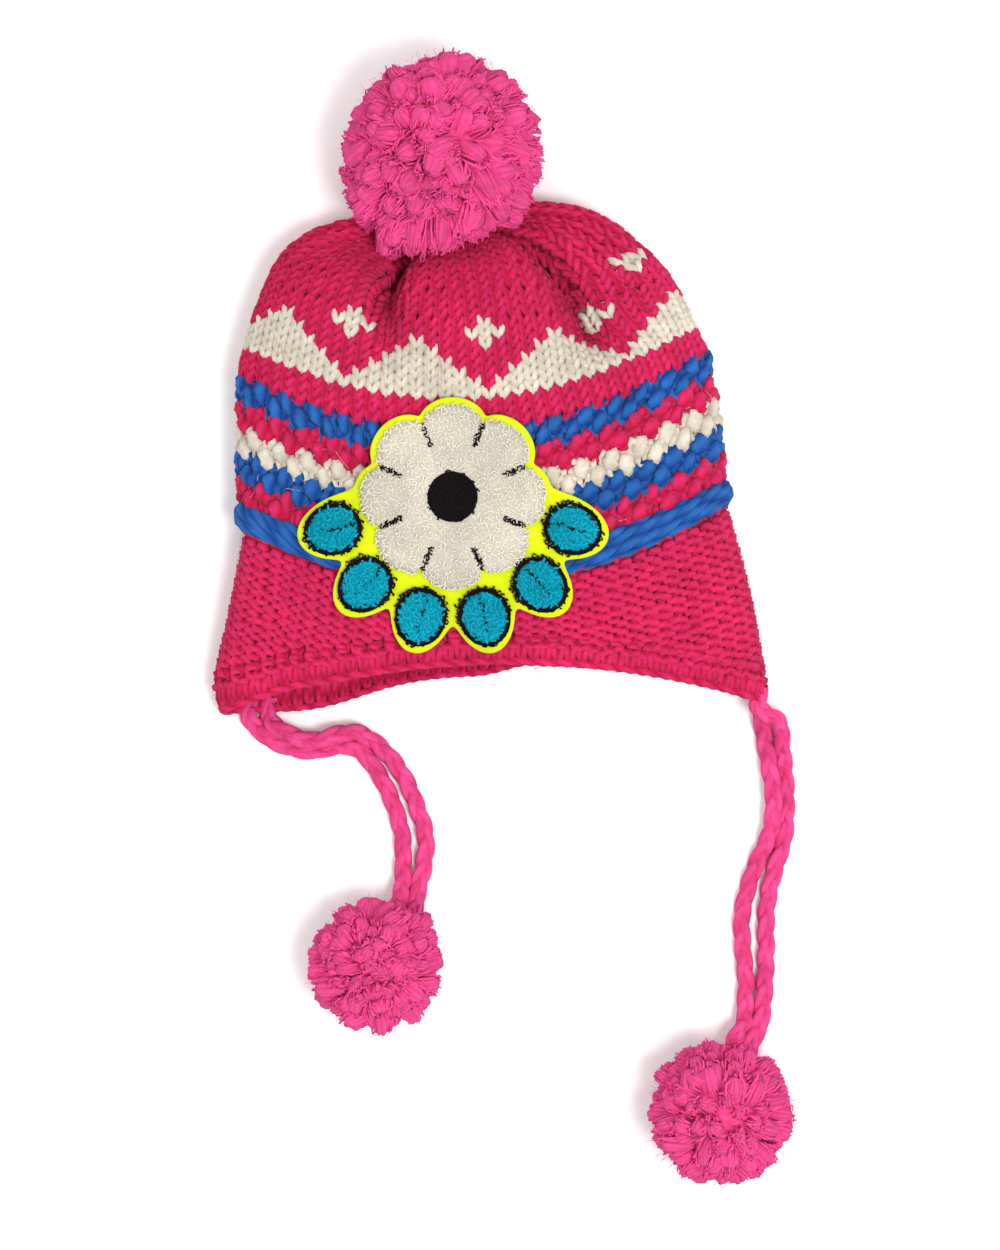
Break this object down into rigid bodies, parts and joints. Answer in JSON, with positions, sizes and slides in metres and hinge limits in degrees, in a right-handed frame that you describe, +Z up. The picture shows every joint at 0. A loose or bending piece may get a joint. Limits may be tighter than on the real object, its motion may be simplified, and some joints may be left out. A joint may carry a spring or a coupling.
{
  "type": "knitted earflap beanie",
  "caption": "Chunky knitted child's hat with earflaps, a gathered crown under a pompom, raised bands, a sewn flower patch and braided ties ending in small pompoms.",
  "frame": {"origin": "on the surface that the hat lies on, under the middle of the hat with its top pompom and without its ties", "axes": "+Y from the hem towards the crown, +Z up out of the hat's front, +X to the right as the front is looked at"},
  "size_m": [0.2572, 0.4931, 0.0826],
  "materials": {
    "raspberry_knit": "thick raspberry pink yarn, knitted, lightly fuzzy",
    "pink_yarn": "soft bright pink yarn, cut into pompoms or braided",
    "blue_knit": "thick royal blue yarn, knitted in raised rows",
    "cream_knit": "thick cream yarn, knitted in seed stitch",
    "yellow_felt": "matt neon yellow felt",
    "cream_pile": "cream chenille loops",
    "turquoise_pile": "turquoise chenille loops",
    "black_pile": "black embroidery yarn"
  },
  "bodies": {
    "root": {"rib_trim": "raspberry_knit", "earflap_skirt": "raspberry_knit", "lower_blue_band": "blue_knit", "seed_stripes": "cream_knit", "upper_blue_ridge": "blue_knit", "triangle_band": "cream_knit", "crown": "raspberry_knit", "top_pompom": "pink_yarn", "patch_felt": "yellow_felt", "patch_petals": "cream_pile", "patch_eye": "black_pile", "patch_leaf_1": "turquoise_pile", "patch_leaf_2": "turquoise_pile", "patch_leaf_3": "turquoise_pile", "patch_leaf_4": "turquoise_pile", "patch_leaf_5": "turquoise_pile", "patch_leaf_6": "turquoise_pile", "tie_left_a": "pink_yarn", "tie_left_b": "pink_yarn", "tie_right_a": "pink_yarn", "tie_right_b": "pink_yarn", "tie_pompom_left": "pink_yarn", "tie_pompom_right": "pink_yarn"}
  },
  "joints": []
}
